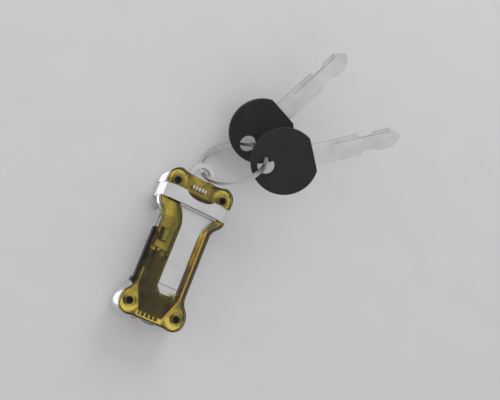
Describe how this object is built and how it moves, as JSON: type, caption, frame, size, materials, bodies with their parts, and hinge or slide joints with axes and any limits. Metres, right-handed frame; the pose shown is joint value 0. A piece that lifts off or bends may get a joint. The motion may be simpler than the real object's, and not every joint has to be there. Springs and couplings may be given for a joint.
{
  "type": "disc brake lock",
  "caption": "Motorcycle disc lock: metal body, amber cover, steel collar, key plug that drives a bolt across a disc slot, side bar, eyelet, split ring and keys.",
  "frame": {"origin": "centre of the flat back face", "axes": "+Z out of the amber front, +Y along the body towards the eyelet, +X to the right seen from the front"},
  "size_m": [0.0822, 0.1474, 0.0524],
  "materials": {
    "polished_zinc": "polished die-cast metal",
    "amber_plastic": "clear smoky amber polycarbonate",
    "satin_steel": "satin",
    "hard_steel": "ground, hardened",
    "black_plastic": "moulded, black",
    "black_screw": "black oxide steel",
    "key_head_plastic": "matt black, moulded",
    "key_steel": "nickel-plated",
    "brass": "turned",
    "rubber_pad": "moulded rubber",
    "orange_seal": "moulded silicone rubber"
  },
  "bodies": {
    "housing": {"rear_body": "polished_zinc", "front_cover": "amber_plastic", "collar": "satin_steel", "centre_plate": "satin_steel", "inner_frame": "black_plastic", "frame_rivets": "satin_steel", "frame_rods": "satin_steel", "cover_seal": "orange_seal", "cover_gasket": "rubber_pad", "collar_pad": "rubber_pad", "cavity_lid": "satin_steel", "cover_screws": "black_screw", "eyelet": "satin_steel", "retaining_pin": "hard_steel", "strike_bush": "hard_steel", "slot_pad": "rubber_pad", "detent_block": "black_plastic", "detent_ball": "hard_steel", "detent_leaf": "hard_steel"},
    "slider": {"thumb_bar": "black_plastic", "drive_yoke": "hard_steel", "bar_rivets": "hard_steel", "cam_follower": "hard_steel", "lock_bolt": "hard_steel"},
    "plug": {"key_plug": "brass", "wafers": "brass", "plug_cam": "hard_steel", "cam_pin": "hard_steel"},
    "ring": {"split_ring": "satin_steel"},
    "front_key": {"front_key_blade": "key_steel", "front_key_head": "key_head_plastic"},
    "rear_key": {"rear_key_blade": "key_steel", "rear_key_head": "key_head_plastic"}
  },
  "joints": [
    {"name": "plug_turn", "type": "hinge", "parent": "housing", "child": "plug", "pos_m": [0, -0.024, 0.0063], "axis": [0, 1, 0], "range_deg": [0, 180]},
    {"name": "bolt_slide", "type": "slide", "parent": "housing", "child": "slider", "axis": [0, 1, 0], "range_m": [0, 0.0075]},
    {"name": "ring_swing", "type": "hinge", "parent": "housing", "child": "ring", "pos_m": [-0.0004, 0.0357, 0.0132], "axis": [0.3818, -0.4017, 0.8324], "range_deg": [-18, 30]},
    {"name": "front_key_swing", "type": "hinge", "parent": "ring", "child": "front_key", "pos_m": [0.0203, 0.04926, 0.02459], "axis": [-0.2844, -0.8381, 0.4656], "range_deg": [-35, 35]},
    {"name": "rear_key_swing", "type": "hinge", "parent": "ring", "child": "rear_key", "pos_m": [0.01526, 0.05994, 0.00848], "axis": [0.6635, 0.0344, 0.7474], "range_deg": [-25, 25]}
  ],
  "couplings": [
    {"joint": "plug_turn", "follows": "bolt_slide", "rad_per_m": 418.88}
  ]
}
